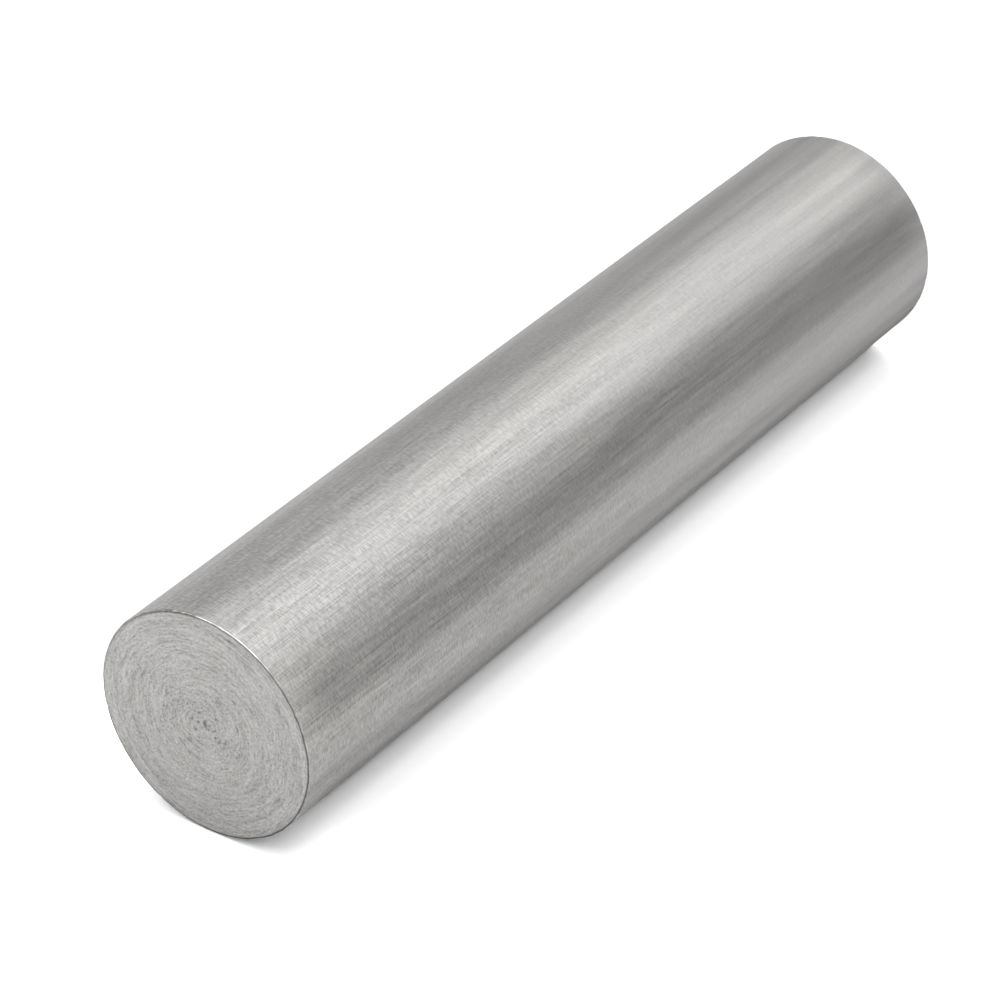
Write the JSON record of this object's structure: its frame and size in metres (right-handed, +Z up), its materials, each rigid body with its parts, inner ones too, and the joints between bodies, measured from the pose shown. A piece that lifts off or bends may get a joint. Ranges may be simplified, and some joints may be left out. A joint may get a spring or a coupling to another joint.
{
  "type": "galvanized steel round bar",
  "caption": "Short solid round steel bar with a satin brushed grey side and flat faced ends whose rims are lightly broken; raw stock for cutting, turning, clamping or welding.",
  "frame": {"origin": "the middle of the end face that the bar stands on", "axes": "+Z up, along the bar's axis, towards the end face that the picture shows"},
  "size_m": [0.032, 0.032, 0.15],
  "materials": {
    "satin_steel": "satin grey, brushed along the bar with finer scratches round it; end faces dull, with concentric facing marks"
  },
  "bodies": {
    "root": {"bar": "satin_steel"}
  },
  "joints": []
}
